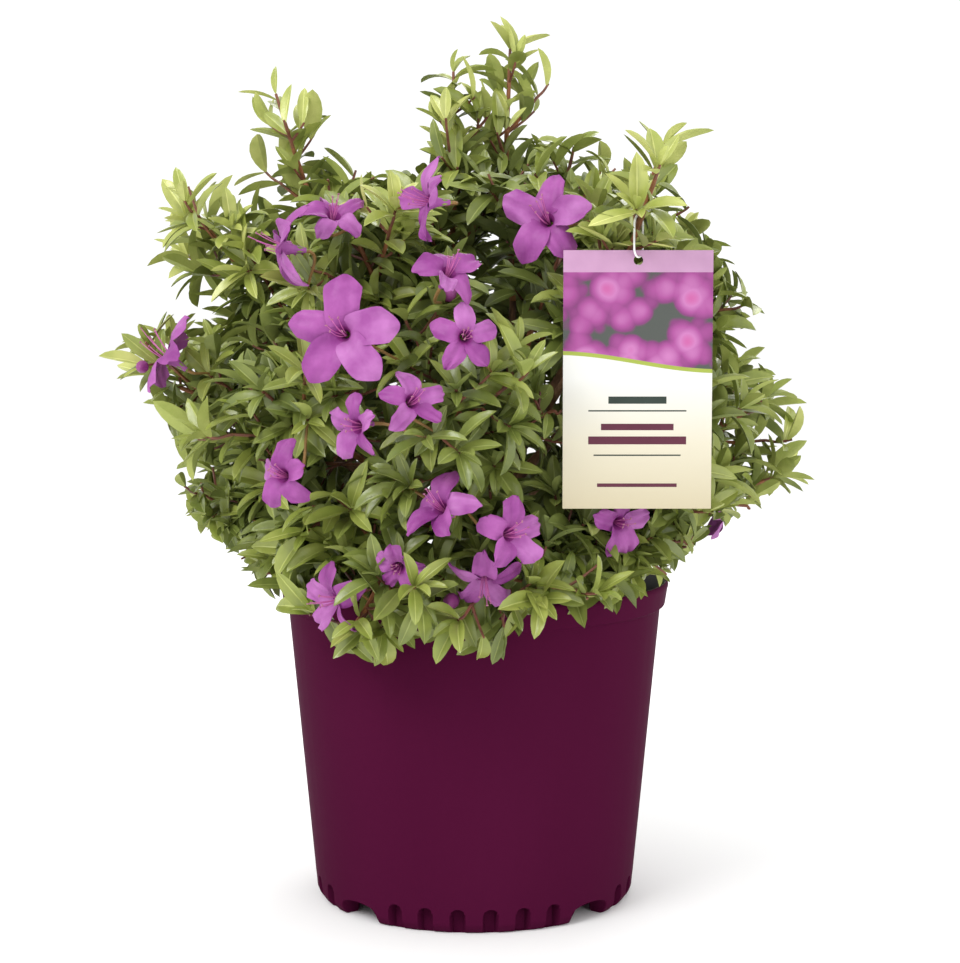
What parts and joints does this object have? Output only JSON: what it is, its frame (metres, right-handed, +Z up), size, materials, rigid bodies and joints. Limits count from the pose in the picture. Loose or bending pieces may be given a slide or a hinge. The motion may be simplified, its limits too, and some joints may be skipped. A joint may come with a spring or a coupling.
{
  "type": "azalea shrub in a nursery pot",
  "caption": "Young flowering azalea with a bushy crown on a short forked trunk, in a round nursery pot with a rolled collar and notched foot, with a blank hang tag on one shoot.",
  "frame": {"origin": "on the ground, on the axis of the pot, at the middle of the plant's footprint", "axes": "+Z up along the pot's axis; the front, where the tag hangs, faces -Y; +X is the viewer's right"},
  "size_m": [0.4454, 0.4374, 0.5518],
  "materials": {
    "pot_plastic": "satin plum-coloured injection-moulded plastic",
    "potting_mix": "damp shredded pine bark",
    "bark": "matt, finely fissured, orange-brown to reddish",
    "foliage": "semi-matt leaves with purple blossom",
    "tag_card": "satin printed plastic card",
    "tag_loop": "white elastic"
  },
  "bodies": {
    "root": {"pot": "pot_plastic", "potting_mix": "potting_mix", "trunk": "bark", "bough_top": "bark", "bough_top_left": "bark", "bough_left_spire": "bark", "bough_upper_left": "bark", "bough_left": "bark", "bough_left_low": "bark", "bough_right_low": "bark", "bough_right": "bark", "bough_upper_right": "bark", "bough_right_spire": "bark", "bough_tag_shoot": "bark", "bough_upper_front": "bark", "bough_crown_front": "bark", "bough_front_left": "bark", "bough_front": "bark", "bough_front_right": "bark", "bough_upper_back_left": "bark", "bough_upper_back_right": "bark", "bough_back_left": "bark", "bough_back": "bark", "bough_back_right": "bark", "bough_low_back_left": "bark", "bough_low_back_right": "bark", "bough_rim_left": "bark", "bough_rim_front_left": "bark", "bough_rim_front": "bark", "bough_rim_right": "bark", "foliage_top": "foliage", "foliage_top_left": "foliage", "foliage_left_spire": "foliage", "foliage_upper_left": "foliage", "foliage_left": "foliage", "foliage_left_low": "foliage", "foliage_right_low": "foliage", "foliage_right": "foliage", "foliage_upper_right": "foliage", "foliage_right_spire": "foliage", "foliage_tag_shoot": "foliage", "foliage_upper_front": "foliage", "foliage_crown_front": "foliage", "foliage_front_left": "foliage", "foliage_front": "foliage", "foliage_front_right": "foliage", "foliage_upper_back_left": "foliage", "foliage_upper_back_right": "foliage", "foliage_back_left": "foliage", "foliage_back": "foliage", "foliage_back_right": "foliage", "foliage_low_back_left": "foliage", "foliage_low_back_right": "foliage", "foliage_rim_left": "foliage", "foliage_rim_front_left": "foliage", "foliage_rim_front": "foliage", "foliage_rim_right": "foliage", "hang_tag": "tag_card", "tag_loop": "tag_loop"}
  },
  "joints": []
}
